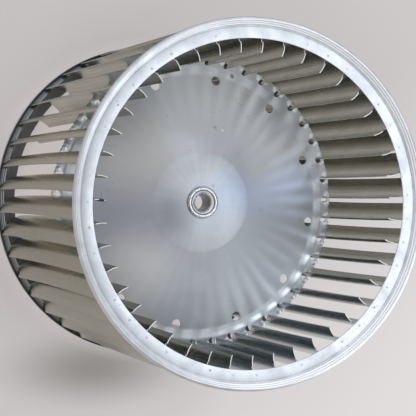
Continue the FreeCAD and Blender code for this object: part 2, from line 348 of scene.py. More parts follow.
polar_group = build_polar_group()
print("polar group nodes", len(polar_group.nodes))


# %% [markdown]
# Every metal here is a Principled shader, mostly metallic, so it mirrors what surrounds it. What tells
# one part from another is the tint of its base colour, how rough it is, and what its bump does to the
# mirror. Where fresh or pressed sheet looks pale from every side, a mask takes some of the mirror away.

# %% Metal helpers
def start_metal(name, roughness, metallic=1.0):
    """A new metal: its material, its tree, its shader and the place on the part."""
    material = bpy.data.materials.new(name)
    material.use_nodes = True
    tree = material.node_tree
    shader = tree.nodes["Principled BSDF"]
    feed(tree, shader.inputs, {"Metallic": metallic, "Roughness": roughness})
    return material, tree, shader, add(tree, "ShaderNodeTexCoord").outputs["Object"]


def fill(tree, group, links):
    """One use of a shader group, returned as its outputs."""
    return add(tree, "ShaderNodeGroup", links, node_tree=group).outputs


def blend_colours(tree, amount, first, second):
    """A mix of two colours by a mask."""
    return add(tree, "ShaderNodeMix", {0: amount, 6: first, 7: second}, data_type="RGBA").outputs[2]


def paint(tree, tone, *coats):
    """Lays colours over a tone one after another, each through its own mask."""
    for mask, colour in coats:
        tone = blend_colours(tree, mask, tone, colour)
    return tone


def ramp(tree, value, low, high, start=0.0, end=1.0):
    """Maps a mask from one range to another and clamps it."""
    return add(tree, "ShaderNodeMapRange", {
        "Value": value, "From Min": low, "From Max": high, "To Min": start, "To Max": end,
    }).outputs[0]


def bump(tree, shader, height, strength, distance):
    node = add(tree, "ShaderNodeBump", {"Height": height, "Strength": strength, "Distance": distance})
    tree.links.new(node.outputs[0], shader.inputs["Normal"])


def grey(value, blue=0.0):
    """A grey written in linear values, a little cooler where blue is above nought."""
    return (value * (1 - blue * 0.5), value, value * (1 + blue), 1)


helpers = (start_metal, fill, blend_colours, paint, ramp, bump, grey)
print("metal helpers", [helper.__name__ for helper in helpers])

# %% [markdown]
# The end rings are bright sheet with a fine even grain. Between the blades each band carries a small
# punch mark, left by the tool that crimps the rim. It is drawn as a dimple: a spot in polar coordinates
# that roughens the surface, dents the bump and darkens the colour, that darkening being painted shade
# in the dent. The front rim's inner wall gets a painted highlight on its ledges, mostly on one side, with
# a painted shade line in each crease. The rear ring's band and rim are painted darker as shade, and the
# rings are painted a little darker towards +X as shade.

# %% Ring material
DIMPLE_AT = 123.7 * MM
CREASE_AT = 129.7 * MM
LEDGE_WIDTH = 1.2 * MM


def ring_material():
    material, tree, shader, place = start_metal("bright_ring_sheet", 0.34)
    grain = fill(tree, grain_group, {"Position": place, "Fine": 1400.0, "Cloud": 55.0})
    polar = fill(tree, polar_group, {"Position": place, "Lines": 900.0, "Shift": 0.43})
    radius, split = polar["Radius"], xyz(tree, place)
    x, level = split[0], split[2]
    across = times(tree, maths(tree, "SUBTRACT", polar["Pitch"], 0.5), DIMPLE_AT * PITCH)
    wander = times(tree, maths(tree, "SUBTRACT", grain["Clouds"], 0.5), 0.004)
    outwards = maths(tree, "ADD", maths(tree, "SUBTRACT", radius, DIMPLE_AT), wander)
    away = maths(tree, "SQRT", maths(tree, "ADD", times(tree, across, across),
                                     maths(tree, "POWER", outwards, 2.0)))
    # The dimple dents the bump and roughens the surface; its dark colour is painted shade in the dent.
    dimple = times(tree, ramp(tree, away, 0.0004, 0.0012, 1.0, 0.0),
                   ramp(tree, grain["Clouds"], 0.42, 0.60, 0.1, 1.0))
    # Painted shade: the rear ring's mouth is darkened.
    rear_mouth_shade = times(tree, ramp(tree, radius, 0.1296, 0.1304), ramp(tree, level, 0.10, 0.11, 0.8, 0.0))
    # Painted highlight: the front rim's inner wall, mostly on the -X side, is paled and less mirror-like.
    wall = times(tree, ramp(tree, radius, 0.1291, 0.1297), ramp(tree, radius, 0.1326, 0.1332, 1.0, 0.0),
                 ramp(tree, level, 0.10, 0.12), ramp(tree, x, 0.0, 0.08, 1.0, 0.0))
    # Painted shade: a darker line in each crease of that wall.
    wave = maths(tree, "COSINE", times(tree, maths(tree, "SUBTRACT", radius, CREASE_AT),
                                       2 * math.pi / LEDGE_WIDTH))
    crease = times(tree, ramp(tree, wave, 0.80, 1.0), wall)
    clouded = blend_colours(tree, ramp(tree, grain["Clouds"], 0.35, 0.65),
                            grey(0.62, 0.05), grey(0.82, 0.05))
    tone = paint(
        tree, clouded,
        (ramp(tree, grain["Grain"], 0.52, 0.75, 0.0, 0.35), grey(0.42, 0.08)),
        # Painted shade: the rear ring is darker.
        (ramp(tree, level, 0.006, 0.010, 0.8, 0.0), grey(0.34)),
        (rear_mouth_shade, grey(0.12)),
        # Painted shade: darker towards +X.
        (ramp(tree, x, 0.0, 0.13, 0.0, 0.4), grey(0.56, 0.04)),
        (times(tree, grain["Specks"], 0.55), grey(0.22)),
        (times(tree, dimple, 0.55), grey(0.12)),
        (times(tree, wall, 0.8), grey(0.93, 0.03)),
        (times(tree, crease, 0.5), (0.34, 0.37, 0.32, 1)),
    )
    feed(tree, shader.inputs, {
        "Base Color": tone,
        "Metallic": ramp(tree, wall, 0.0, 1.0, 1.0, 0.45),
        "Roughness": maths(tree, "ADD", ramp(tree, grain["Grain"], 0.3, 0.7, 0.30, 0.42),
                           times(tree, dimple, 0.2)),
    })
    bump(tree, shader, maths(tree, "SUBTRACT", times(tree, grain["Grain"], 0.25), dimple), 0.25, 0.0002)
    return material


ring_sheet = ring_material()
print(ring_sheet.name, len(ring_sheet.node_tree.nodes), "nodes")

# %% [markdown]
# A ring's section follows the rolled sheet: a flat band, a shallow groove at the foot of the rim, a
# wall that climbs outwards in two ledges, a rounded crest and an outer wall. Its inside stays open
# towards the blades. The rear ring is the same section turned over.

# %% End rings
WIDTH = 270.0
BAND = 5.0
RING_STEPS = 6 * COUNT
RING_CORNER = 0.35
RING_FACE = [
    (119.8, 0.0), (128.1, 0.0), (128.6, -0.4), (129.1, -0.4), (129.5, 0.1), (129.75, 1.5), (130.7, 1.7),
    (130.95, 3.2), (131.9, 3.5), (132.25, 4.7), (133.0, 5.0), (134.0, 4.6), (134.7, 3.9), (135.0, 2.9),
    (135.0, 1.2),
]
RING_BACK = [
    (134.2, 1.2), (134.2, 2.7), (133.7, 3.6), (132.9, 4.0), (132.6, 3.8), (132.4, 2.8), (131.6, 2.5),
    (131.4, 1.1), (130.5, 0.8), (130.2, -0.7), (129.6, -1.25), (128.3, -1.25), (127.7, -0.8), (119.8, -0.8),
]


def ring_section(front):
    """The section of either ring, as pairs of radius and height in millimetres."""
    outline = rounded(RING_FACE + RING_BACK, RING_CORNER)
    level = WIDTH - BAND
    return [(r, level + z) if front else (r, BAND - z) for r, z in outline]


for label, front in (("front_ring", True), ("rear_ring", False)):
    ring = spin(label + ".rolled", ring_section(front), ring_sheet, RING_STEPS)
    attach(ring, "root")
    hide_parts(label)

# %% [markdown]
# Blades are plain mill sheet, darker and smoother than the rings. Their colour is painted a little olive
# as shade on the side away from the window, and cooler, as a painted reflection of the window, towards
# it. Along their length they show faint rolling lines. Their sheared ends are bright: bare metal at the
# cut, with a painted edge highlight. Those ends are found from the blade's own attribute, written when
# its mesh is made.

# %% Blade material
def blade_material():
    material, tree, shader, place = start_metal("mill_blade_sheet", 0.36)
    grain = fill(tree, grain_group, {"Position": place, "Fine": 1100.0, "Cloud": 30.0})
    stretched = add(tree, "ShaderNodeMapping", {"Vector": place, "Scale": (380.0, 380.0, 9.0)}).outputs[0]
    lines = add(tree, "ShaderNodeTexNoise", {
        "Vector": stretched, "Scale": 1.0, "Detail": 2.0,
    }).outputs["Fac"]
    # The cut-edge mark brightens the ends: bare metal at the cut, with a painted edge highlight.
    edge = add(tree, "ShaderNodeAttribute", attribute_name="cut_edge",
               attribute_type="GEOMETRY").outputs["Fac"]
    x, y = xyz(tree, place)[:2]
    # Painted shade and reflection: olive towards +X, cooler towards +Y and -X.
    olive = times(tree, ramp(tree, x, 0.05, 0.12, 0.0, 0.9), ramp(tree, y, -0.10, -0.05))
    cool = times(tree, ramp(tree, y, 0.02, 0.09), ramp(tree, x, 0.0, 0.06, 1.0, 0.0), 0.9)
    clouded = blend_colours(tree, ramp(tree, grain["Clouds"], 0.3, 0.7),
                            (0.38, 0.377, 0.315, 1), (0.46, 0.455, 0.39, 1))
    tone = paint(
        tree, clouded,
        (olive, (0.32, 0.305, 0.21, 1)),
        (cool, (0.51, 0.56, 0.58, 1)),
        (times(tree, grain["Specks"], 0.2), grey(0.12)),
        (edge, grey(0.86)),
    )
    feed(tree, shader.inputs, {
        "Base Color": tone,
        "Roughness": maths(tree, "ADD", ramp(tree, lines, 0.3, 0.7, 0.22, 0.29), times(tree, edge, 0.25)),
    })
    bump(tree, shader, maths(tree, "ADD", lines, times(tree, grain["Grain"], 0.2)), 0.015, 0.0002)
    return material


blade_sheet = blade_material()
print(blade_sheet.name, len(blade_sheet.node_tree.nodes), "nodes")

# %% [markdown]
# One blade is a strip bent to a single radius. Its end is cut in steps: the free part inside the
# opening stops below the band, a notch frees it from the ring, the middle seats under the band, and a
# tongue stands up into the rim. The strip is laid out column by column along the bend, each column with
# its own top and bottom. Rows are cut across it, so that it can be notched where it passes the disc and
# bowed a little between the rings. Only then does it get its thickness and a fine bevel.

# %% One blade
BEND = Vector((114.75, 18.13))
BEND_RADIUS = 18.82
BEND_FIRST = math.radians(-105.56)
BEND_LAST = math.radians(-13.0)
BEND_PARTS = (6, 1, 6, 1)
BLADE_TOP = [(0.0, -2.8), (117.9, -5.0), (120.7, -1.45), (131.6, 2.3)]
BLADE_THICKNESS = 0.7
BLADE_BEVEL = 0.1
NOTCH_FOOT, NOTCH_TOP = 131.0, 141.5
BLADE_ROWS = (45, 90, NOTCH_FOOT, NOTCH_TOP, 180, 225)
BLADE_BOW = -1.2
NOTCH_REACH = 115.6
HALVINGS = 40
EDGE_TURN = math.radians(50)
END_TILT = 0.3
SIDE_SHINE = 0.08


def bend_angle(radius):
    """The angle on the bend at which the strip reaches a distance from the wheel's axis."""
    low, high = BEND_FIRST, BEND_LAST
    for step in range(HALVINGS):
        middle = (low + high) / 2
        reach = (BEND + BEND_RADIUS * Vector((math.cos(middle), math.sin(middle)))).length
        if reach < radius:
            low = middle
        else:
            high = middle
    return low


def blade_mesh():
    """One blade as a sheet without thickness."""
    steps = [bend_angle(radius) for radius, drop in BLADE_TOP[1:]]
    stops = [BEND_FIRST] + steps + [BEND_LAST]
    angles = []
    for first, last, parts in zip(stops, stops[1:], BEND_PARTS):
        angles += [first + (last - first) * part / parts for part in range(parts)]
    angles.append(BEND_LAST)
    drops = []
    for first, last in zip(angles, angles[1:]):
        middle = (first + last) / 2
        zone = sum(middle > step for step in steps)
        drops.append(BLADE_TOP[zone][1])
    work = bmesh.new()
    levels = []
    for index, angle in enumerate(angles):
        x, y = BEND + BEND_RADIUS * Vector((math.cos(angle), math.sin(angle)))
        beside = {drops[min(index, len(drops) - 1)], drops[max(index - 1, 0)]}
        heights = sorted({WIDTH - BAND + drop for drop in beside} | {BAND - drop for drop in beside})
        levels.append({h: work.verts.new((x * MM, y * MM, h * MM)) for h in heights})
    for index, drop in enumerate(drops):
        low, high = BAND - drop, WIDTH - BAND + drop
        left = [v for h, v in sorted(levels[index].items()) if low <= h <= high]
        right = [v for h, v in sorted(levels[index + 1].items()) if low <= h <= high]
        work.faces.new(left[::-1] + right)
    for row in BLADE_ROWS:
        whole = work.verts[:] + work.edges[:] + work.faces[:]
        bmesh.ops.bisect_plane(work, geom=whole, plane_co=(0, 0, row * MM), plane_no=(0, 0, 1))
    notch = [face for face in work.faces
             if NOTCH_FOOT < face.calc_center_median().z / MM < NOTCH_TOP
             and face.calc_center_median().xy.length / MM < NOTCH_REACH]
    bmesh.ops.delete(work, geom=notch, context="FACES")
    for vertex in work.verts:
        share = (vertex.co.z / MM - WIDTH / 2) / (WIDTH / 2 - BAND)
        vertex.co.y += BLADE_BOW * MM * max(0.0, 1 - share * share)
    mesh = bpy.data.meshes.new("blade")
    work.to_mesh(mesh)
    work.free()
    return mesh


def finish_sheet(name, mesh, thickness, bevel):
    """Gives a strip its thickness and its sheared edges a small bevel, and marks those edges."""
    piece = bpy.data.objects.new(name, mesh)
    scene.collection.objects.link(piece)
    solid = piece.modifiers.new("thickness", "SOLIDIFY")
    solid.thickness = thickness * MM
    solid.offset = 0
    solid.use_even_offset = True
    solid.use_rim = True
    solid.material_offset_rim = 1
    mesh.materials.append(blade_sheet)
    mesh.materials.append(blade_sheet)
    edge = piece.modifiers.new("edge", "BEVEL")
    edge.width = bevel * MM
    edge.segments = 1
    edge.limit_method = "ANGLE"
    edge.angle_limit = EDGE_TURN
    edge.use_clamp_overlap = True
    graph = bpy.context.evaluated_depsgraph_get()
    made = bpy.data.meshes.new_from_object(piece.evaluated_get(graph))
    bpy.data.objects.remove(piece)
    # Full mark on the sheared ends, faint on the long sides: bare metal and a painted edge highlight.
    mark = made.attributes.new("cut_edge", "FLOAT", "FACE")
    for polygon in made.polygons:
        sheared = 1.0 if abs(polygon.normal.z) > END_TILT else SIDE_SHINE
        mark.data[polygon.index].value = sheared if polygon.material_index else 0.0
    for polygon in made.polygons:
        polygon.material_index = 0
    made.materials.clear()
    made.materials.append(blade_sheet)
    return made


one_blade = finish_sheet("blade.one", blade_mesh(), BLADE_THICKNESS, BLADE_BEVEL)
print("one blade", len(one_blade.polygons), "faces")

# %% [markdown]
# The cage repeats that blade 43 times. A geometry tree places one copy on each step of a circle, which
# is quicker to change than 43 objects, and the same tree later sets the staked collars on the disc. A
# small seeded turn keeps the copies from looking stamped by a machine that never drifts.

# %% A tree that repeats a part round the axis
def build_repeat_tree():
    tree, given, made = new_group("repeat_round_the_axis", "GeometryNodeTree", [
        ("Geometry", "NodeSocketGeometry"),
        ("Count", "NodeSocketInt", 43),
        ("Drift", "NodeSocketFloat", 0.0),
        ("Seed", "NodeSocketInt", 3),
        ("Material", "NodeSocketMaterial"),
    ], [("Geometry", "NodeSocketGeometry")])
    spots = add(tree, "GeometryNodePoints", {"Count": given.outputs["Count"]})
    index = add(tree, "GeometryNodeInputIndex").outputs[0]
    turn = maths(tree, "DIVIDE", times(tree, index, 2 * math.pi), given.outputs["Count"])
    drift = add(tree, "FunctionNodeRandomValue", {
        "Min": -1.0, "Max": 1.0, "ID": index, "Seed": given.outputs["Seed"],
    }, data_type="FLOAT")
    drifts = [socket for socket in drift.outputs if socket.enabled][0]
    turn = maths(tree, "ADD", turn, times(tree, drifts, given.outputs["Drift"]))
    turned = add(tree, "ShaderNodeCombineXYZ", {2: turn}).outputs[0]
    copies = add(tree, "GeometryNodeInstanceOnPoints", {
        "Points": spots.outputs[0], "Instance": given.outputs["Geometry"], "Rotation": turned,
    })
    whole = add(tree, "GeometryNodeRealizeInstances", {"Geometry": copies.outputs[0]})
    coated = add(tree, "GeometryNodeSetMaterial", {
        "Geometry": whole.outputs[0], "Material": given.outputs["Material"],
    })
    tree.links.new(coated.outputs[0], made.inputs["Geometry"])
    return tree


BLADE_DRIFT = 0.0006
repeat_tree = build_repeat_tree()
cage = evaluate("blade_cage", one_blade, repeat_tree, {
    "Count": COUNT, "Drift": BLADE_DRIFT, "Seed": 7, "Material": blade_sheet,
})
smooth(cage, SHARP_TURN)
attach(cage, "root")
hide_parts(*BLADES)
print("blade cage triangles", triangles(cage))

# %% [markdown]
# The centre disc is pressed from thicker sheet. Rolling and pressing leave it faintly cloudy, with
# flutes that fan out towards the tabs. A painted sheen follows those fans, and the flutes' shading is
# painted into the colour, mostly on one side. Its reflection is stretched round the axis, as on a spun
# pan lid, so the shader is anisotropic with its tangent round the axis. Broad soft spots of painted light
# and shade lie over it, small marks and scratches lie on top, and the land at the foot of the tabs gets
# a painted highlight between the slots, weaker in one patch of painted shade.

# %% Disc material
DISC_MARKS = [
    (-8.7, -13.5, 0.4, 2.2, 0.55, (0.26, 0.26, 0.28, 1)),
    (-11.5, -60.0, 0.4, 2.6, 0.50, (0.28, 0.29, 0.28, 1)),
    (-52.0, 5.0, 0.5, 3.6, 0.35, (0.34, 0.38, 0.37, 1)),
    (28.0, -68.0, 0.2, 1.5, 0.35, (0.28, 0.29, 0.31, 1)),
    (-18.0, -58.0, 0.4, 1.5, 0.80, (0.95, 0.95, 0.96, 1)),
]
# Soft spots of painted light and shade on the disc: sheens, glows and darker patches.
DISC_PAINTED_LIGHT = [
    (62.0, 16.0, 6.0, 50.0, 0.65, (0.34, 0.35, 0.41, 1)),
    (21.0, 10.0, 3.0, 24.0, 0.75, (0.30, 0.30, 0.34, 1)),
    (56.0, 60.0, 8.0, 52.0, 0.65, (0.82, 0.81, 0.82, 1)),
    (60.0, -48.0, 8.0, 60.0, 0.45, (0.74, 0.72, 0.70, 1)),
    (-12.0, -92.0, 10.0, 64.0, 0.60, (0.80, 0.82, 0.84, 1)),
    (-62.0, -54.0, 8.0, 60.0, 0.60, (0.66, 0.68, 0.72, 1)),
    (-80.0, -72.0, 6.0, 34.0, 0.50, (0.36, 0.375, 0.40, 1)),
    (-62.0, 34.0, 8.0, 48.0, 0.40, (0.42, 0.46, 0.53, 1)),
    (-92.0, -4.0, 6.0, 40.0, 0.30, (0.38, 0.43, 0.54, 1)),
    (2.0, 8.0, 8.0, 36.0, 0.40, (0.36, 0.37, 0.40, 1)),
    (-27.0, -10.0, 6.0, 30.0, 0.60, (0.40, 0.475, 0.62, 1)),
    (-78.0, -14.0, 6.0, 34.0, 0.50, (0.58, 0.69, 0.92, 1)),
    (-50.0, -4.0, 4.0, 26.0, 0.40, (0.50, 0.62, 0.86, 1)),
    (52.0, -34.0, 8.0, 50.0, 0.35, (0.60, 0.575, 0.55, 1)),
]


def spot(tree, place, x, y, inner, outer):
    """A soft round mask round one place on the disc, given in millimetres."""
    flat = add(tree, "ShaderNodeMapping", {
        "Vector": place, "Location": (-x * MM, -y * MM, 0), "Scale": (1, 1, 0),
    }).outputs[0]
    away = add(tree, "ShaderNodeVectorMath", {0: flat}, operation="LENGTH").outputs["Value"]
    return add(tree, "ShaderNodeMapRange", {
        "Value": away, "From Min": inner * MM, "From Max": outer * MM, "To Min": 1.0, "To Max": 0.0,
    }, interpolation_type="SMOOTHSTEP").outputs[0]


def paint_marks_and_light(tree, tone, place, spots):
    """Paints soft round spots over a tone, for marks and for painted light and shade.

    Each spot: place, inner and outer radius, strength and colour.
    """
    return paint(tree, tone, *(
        (times(tree, spot(tree, place, x, y, inner, outer), strength), colour)
        for x, y, inner, outer, strength, colour in spots))


def disc_material():
    material, tree, shader, place = start_metal("pressed_disc_sheet", 0.32, 0.66)
    grain = fill(tree, grain_group, {"Position": place, "Fine": 800.0, "Cloud": 14.0})
    polar = fill(tree, polar_group, {"Position": place, "Lines": 420.0, "Shift": 0.2})
    radius, radial, pitch = polar["Radius"], polar["Radial"], polar["Pitch"]
    tone = blend_colours(tree, ramp(tree, grain["Clouds"], 0.36, 0.62),
                         (0.48, 0.50, 0.535, 1), (0.56, 0.59, 0.64, 1))
    # Painted sheen along the radial fans.
    tone = paint(tree, tone, (ramp(tree, radial, 0.42, 0.66, 0.0, 0.15), (0.70, 0.74, 0.81, 1)))
    tone = paint_marks_and_light(tree, tone, place, DISC_PAINTED_LIGHT)
    flutes = times(
        tree, maths(tree, "COSINE", times(tree, pitch, 2 * math.pi)),
        ramp(tree, radius, 0.055, 0.092), ramp(tree, radius, 0.101, 0.105, 1.0, 0.35),
        ramp(tree, radial, 0.35, 0.60, 0.35, 1.0),
        ramp(tree, xyz(tree, place)[0], -0.045, 0.030, 1.0, 0.15))
    # Painted light: the flutes' shading is multiplied into the colour, strongest towards -X.
    light = maths(tree, "ADD", times(tree, flutes, 0.16), 1.0)
    lights = add(tree, "ShaderNodeCombineXYZ", {0: light, 1: light, 2: light}).outputs[0]
    tone = add(tree, "ShaderNodeMix", {0: 1.0, 6: tone, 7: lights},
               data_type="RGBA", blend_type="MULTIPLY").outputs[2]
    dull = maths(tree, "MAXIMUM", spot(tree, place, -10.0, -80.0, 20.0, 72.0),
                 spot(tree, place, -70.0, -45.0, 10.0, 70.0))
    between = maths(tree, "COSINE", times(tree, maths(tree, "ADD", pitch, 0.32), 2 * math.pi))
    # Painted highlight on the land between the slots, weakened in one patch of painted shade.
    shaded = spot(tree, place, -85.0, -62.0, 20.0, 60.0)
    land = times(
        tree, ramp(tree, radius, 0.1012, 0.1035), ramp(tree, radius, 0.1088, 0.1105, 1.0, 0.0),
        ramp(tree, between, -0.8, 0.6, 0.35, 1.0), ramp(tree, shaded, 0.0, 1.0, 1.0, 0.15))
    lit = ramp(tree, spot(tree, place, -80.0, 72.0, 30.0, 90.0), 0.0, 1.0, 0.15, 0.65)
    tone = paint(tree, tone, (times(tree, land, 0.9), (0.88, 0.93, 1.0, 1)),
                 (times(tree, grain["Specks"], 0.2), grey(0.20)))
    brushed = ramp(tree, polar["Brushed"], 0.3, 0.7, 0.26, 0.33)
    feed(tree, shader.inputs, {
        "Base Color": paint_marks_and_light(tree, tone, place, DISC_MARKS),
        "Metallic": ramp(tree, land, 0.0, 1.0, ramp(tree, dull, 0.0, 0.7, 0.64, 0.12), lit),
        "Roughness": maths(tree, "ADD", brushed, ramp(tree, grain["Clouds"], 0.4, 0.7, 0.04, 0.0)),
        "Anisotropic": 0.35,
        "Tangent": add(tree, "ShaderNodeTangent", direction_type="RADIAL", axis="Z").outputs[0],
    })
    height = maths(tree, "ADD", times(tree, flutes, 0.5), times(tree, grain["Grain"], 0.03))
    bump(tree, shader, height, 1.0, 0.0003)
    return material


disc_sheet = disc_material()
print(disc_sheet.name, len(disc_sheet.node_tree.nodes), "nodes")

# %% [markdown]
# The disc starts as a spun section: flat tabs at the rim, a bevel up to a narrow land, a long cone and a
# raised centre. One boolean then cuts the slots, the tooling holes and the index hole, with all the
# cutters joined in one mesh, because one cut is far quicker than sixty. A second one cuts the staking
# holes and the creases in the rim, because they overlap the slots and cutters in one mesh must not.

# %% Disc
DISC_LEVEL = 133.7
DISC_THICKNESS = 1.5
DISC_STEPS = 8 * COUNT
SLOT = ((114.6, -2.5, 125), (123.5, -0.6, 145))
TOOLING_HOLES = 12
TOOLING_HOLE = (98.8, 0, 3.75, 125, 150, 32)
FIRST_TOOLING_HOLE = 21.9
INDEX_HOLE = (106.4, 0, 2.0, 125, 150, 24)
INDEX_HOLE_TURN = 254.6
STAKING_HOLE = (113.0, -3.1, 2.6, 125, 145, 20)
RIM_CREASE = (119.4, -8.6, 2.7, 125, 145, 16)
CUT_WELD = 2e-6
CUT_TURN = 35
DISC_CORNER = 0.3
DISC_FACE = [
    (117.6, 0.30), (111.6, 0.34), (110.6, 0.40), (109.8, 0.62), (106.6, 2.00), (105.4, 2.28), (103.4, 2.52),
    (101.3, 2.92), (99.0, 3.35), (72.0, 8.8), (45.0, 14.25), (41.4, 15.0), (40.0, 15.35),
    (38.6, 15.6), (27.0, 16.9), (13.2, 18.4), (12.5, 18.1), (10.95, 18.1),
]


def disc_section():
    """The disc's section: its face, then its back at one sheet's thickness."""
    face = [(r, DISC_LEVEL + z) for r, z in DISC_FACE]
    back = [(r, z - DISC_THICKNESS) for r, z in reversed(face)]
    return rounded(face + back, DISC_CORNER, 2)


def block(work, low, high, turn):
    """A box between two corners in millimetres, turned round the axis."""
    made = bmesh.ops.create_cube(work, size=1.0)["verts"]
    low, high = Vector(low), Vector(high)
    for vertex in made:
        for axis in range(3):
            vertex.co[axis] = (low[axis] if vertex.co[axis] < 0 else high[axis]) * MM
    bmesh.ops.rotate(work, verts=made, cent=(0, 0, 0), matrix=Matrix.Rotation(turn, 3, "Z"))


def drill(work, x, y, radius, low, high, segments, turn=0.0):
    """A round cutter in millimetres along the axis, turned round it."""
    made = bmesh.ops.create_cone(
        work, cap_ends=True, segments=segments, radius1=radius * MM, radius2=radius * MM,
        depth=(high - low) * MM)["verts"]
    bmesh.ops.translate(work, verts=made, vec=Vector((x, y, (low + high) / 2)) * MM)
    bmesh.ops.rotate(work, verts=made, cent=(0, 0, 0), matrix=Matrix.Rotation(turn, 3, "Z"))


def carve(piece, work, operation="DIFFERENCE"):
    """Takes everything in a bmesh away from a piece, or joins it to the piece, and cleans the seams."""
    mesh = bpy.data.meshes.new("cutters")
    work.to_mesh(mesh)
    work.free()
    cutter = bpy.data.objects.new("cutters", mesh)
    scene.collection.objects.link(cutter)
    modifier = piece.modifiers.new("cut", "BOOLEAN")
    modifier.object = cutter
    modifier.operation = operation
    modifier.solver = "EXACT"
    graph = bpy.context.evaluated_depsgraph_get()
    made = bpy.data.meshes.new_from_object(piece.evaluated_get(graph))
    piece.modifiers.clear()
    work = bmesh.new()
    work.from_mesh(made)
    bmesh.ops.remove_doubles(work, verts=work.verts, dist=CUT_WELD)
    bmesh.ops.dissolve_degenerate(work, edges=work.edges, dist=CUT_WELD)
    bmesh.ops.triangulate(work, faces=[face for face in work.faces if len(face.verts) > 4])
    work.to_mesh(made)
    work.free()
    piece.data = made
    bpy.data.objects.remove(cutter)


disc = spin("centre_disc.pressed", disc_section(), disc_sheet, DISC_STEPS)
cutters = bmesh.new()
for index in range(COUNT):
    block(cutters, *SLOT, PITCH * index)
for index in range(TOOLING_HOLES):
    drill(cutters, *TOOLING_HOLE, math.radians(FIRST_TOOLING_HOLE + 360 / TOOLING_HOLES * index))
drill(cutters, *INDEX_HOLE, math.radians(INDEX_HOLE_TURN))
carve(disc, cutters)
print("slots cut", triangles(disc))

holes = bmesh.new()
for index in range(COUNT):
    drill(holes, *STAKING_HOLE, PITCH * index)
    drill(holes, *RIM_CREASE, PITCH * index)
carve(disc, holes)
smooth(disc, CUT_TURN)
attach(disc, "root")
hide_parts("centre_disc")
print("disc triangles", triangles(disc))

# %% [markdown]
# After the blades go through their slots, a punch squeezes metal from both sides of each slot against
# the blade. It leaves a hole beside the slot and a collar of lumps round its outer side. The lumps are
# three flattened domes joined into one solid, with the punch hole cut through them, and the repeat tree
# sets one collar at each slot.

# %% Staked collars
DOME_SINK = 0.3
DOME_TURN = 50
COLLAR_DRIFT = 0.002
LUMPS = [
    (115.2, -0.2, 2.8, 3.6, 2.4),
    (115.2, -6.6, 2.6, 2.8, 1.8),
    (116.9, -3.3, 1.5, 3.0, 1.9),
]


def collar_material():
    material, tree, shader, place = start_metal("squeezed_collar_sheet", 0.38, 0.45)
    grain = fill(tree, grain_group, {"Position": place, "Fine": 700.0, "Cloud": 60.0})
    tone = blend_colours(tree, ramp(tree, grain["Clouds"], 0.35, 0.65),
                         (0.84, 0.86, 0.92, 1), (0.97, 0.98, 1.0, 1))
    rough = ramp(tree, grain["Grain"], 0.3, 0.7, 0.32, 0.44)
    feed(tree, shader.inputs, {"Base Color": tone, "Roughness": rough})
    bump(tree, shader, grain["Grain"], 0.1, 0.0002)
    return material


collar_sheet = collar_material()
print(collar_sheet.name, len(collar_sheet.node_tree.nodes), "nodes")


def lump(along, across, length, breadth, height):
    """A flattened dome in millimetres that sits in the tab."""
    work = bmesh.new()
    bmesh.ops.create_uvsphere(work, u_segments=18, v_segments=12, radius=1.0)
    for vertex in work.verts:
        x, y, z = vertex.co
        z = z * height if z > 0 else z
        vertex.co = Vector((along + length * x, across + breadth * y, DISC_LEVEL - DOME_SINK + z)) * MM
    return work


def collar_mesh():
    """The lumps at one slot, joined, with the staking hole cut through them."""
    mesh = bpy.data.meshes.new("collar")
    first = lump(*LUMPS[0])
    first.to_mesh(mesh)
    first.free()
    piece = bpy.data.objects.new("collar", mesh)
    scene.collection.objects.link(piece)
    for numbers in LUMPS[1:]:
        carve(piece, lump(*numbers), "UNION")
    hole = bmesh.new()
    drill(hole, *STAKING_HOLE)
    carve(piece, hole)
    mesh = piece.data
    bpy.data.objects.remove(piece)
    return mesh


collars = evaluate("staked_collars", collar_mesh(), repeat_tree, {
    "Count": COUNT, "Drift": COLLAR_DRIFT, "Seed": 11, "Material": collar_sheet,
})
smooth(collars, DOME_TURN)
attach(collars, "root")
print("collar triangles", triangles(collars))

# %% [markdown]
# The hub is machined steel with a thin greenish zinc coat. Such a coat shows colours that drift with the
# coat's thickness, so its tint comes from slow noise rather than from the view. Its outer edge is worn
# back to bright steel, its groove is darker, and its bore is painted dark as shade.

# %% Hub material
ZINC_FILM = [
    (0.34, (0.50, 0.72, 0.73)), (0.44, (0.66, 0.82, 0.74)), (0.52, (0.84, 0.87, 0.85)),
    (0.60, (0.80, 0.79, 0.84)), (0.68, (0.66, 0.74, 0.86)),
]


def hub_material():
    material, tree, shader, place = start_metal("zinc_hub_steel", 0.25)
    grain = fill(tree, grain_group, {"Position": place, "Fine": 1200.0, "Cloud": 48.0})
    polar = fill(tree, polar_group, {"Position": place, "Lines": 1300.0, "Shift": 0.0})
    radius, level = polar["Radius"], xyz(tree, place)[2]
    tint = add(tree, "ShaderNodeValToRGB", {"Fac": grain["Clouds"]})
    stops = tint.color_ramp.elements
    stops.remove(stops[1])
    stops[0].position, stops[0].color = ZINC_FILM[0][0], (*ZINC_FILM[0][1], 1)
    for position, colour in ZINC_FILM[1:]:
        stops.new(position).color = (*colour, 1)
    worn = ramp(tree, radius, 0.0094, 0.0100, 0.0, 0.8)
    groove = times(tree, ramp(tree, radius, 0.0090, 0.0093),
                   ramp(tree, radius, 0.0098, 0.0101, 1.0, 0.0), 0.85)
    # Painted shade: the bore is darkened.
    inside = times(tree, ramp(tree, radius, 0.00638, 0.00650, 1.0, 0.0),
                   ramp(tree, level, 0.1518, 0.1528, 1.0, 0.0))
    tone = paint(tree, tint.outputs[0], (worn, (0.86, 0.83, 0.84, 1)), (groove, (0.16, 0.19, 0.17, 1)),
                 (inside, (0.10, 0.10, 0.09, 1)))
    rough = ramp(tree, polar["Brushed"], 0.3, 0.7, 0.20, 0.30)
    feed(tree, shader.inputs, {"Base Color": tone, "Roughness": rough})
    bump(tree, shader, polar["Brushed"], 0.015, 0.0001)
    return material


